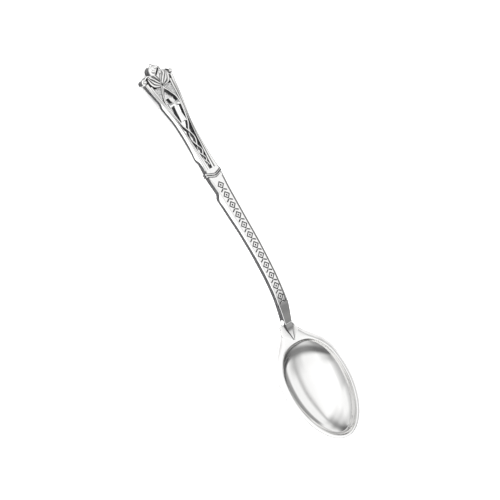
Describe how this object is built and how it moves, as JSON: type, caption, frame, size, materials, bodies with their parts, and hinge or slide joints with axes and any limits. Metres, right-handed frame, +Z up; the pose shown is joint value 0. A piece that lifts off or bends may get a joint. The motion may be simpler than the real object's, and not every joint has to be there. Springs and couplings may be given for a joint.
{
  "type": "souvenir spoon",
  "caption": "Small silver souvenir spoon: egg-shaped bowl, flat bar stem with sunk field, and a tapering openwork finial with rails, cross, interlace, leaves, scrolls and bud.",
  "frame": {"origin": "on the table below the middle of the spoon, which lies on its back", "axes": "+X along the spoon towards the bowl's tip, +Y to the spoon's right as its front is seen with the finial up, +Z up, the way the front faces"},
  "size_m": [0.12, 0.0234, 0.0085],
  "materials": {
    "polished_silver": "polished silver",
    "engraved_silver": "polished silver with dark engraved lines",
    "oxidised_silver": "matted silver, darkened in its recesses"
  },
  "bodies": {
    "root": {"bowl": "polished_silver", "neck": "polished_silver", "tongue": "polished_silver", "stem_bar": "engraved_silver", "stem_border_left": "polished_silver", "stem_border_right": "polished_silver", "collar_upper": "polished_silver", "collar_lower": "polished_silver", "rail_left": "polished_silver", "rail_right": "polished_silver", "ridge_left": "polished_silver", "ridge_right": "polished_silver", "strand_left": "polished_silver", "strand_right": "polished_silver", "cross": "polished_silver", "spandrel_left": "oxidised_silver", "spandrel_right": "oxidised_silver", "leaf_left": "polished_silver", "leaf_right": "polished_silver", "scroll_left": "polished_silver", "scroll_right": "polished_silver", "ball_left": "polished_silver", "ball_right": "polished_silver", "bud": "polished_silver", "bud_lobe_left": "polished_silver", "bud_lobe_right": "polished_silver", "bud_lobe_upper": "polished_silver", "cap_knob": "polished_silver"}
  },
  "joints": []
}
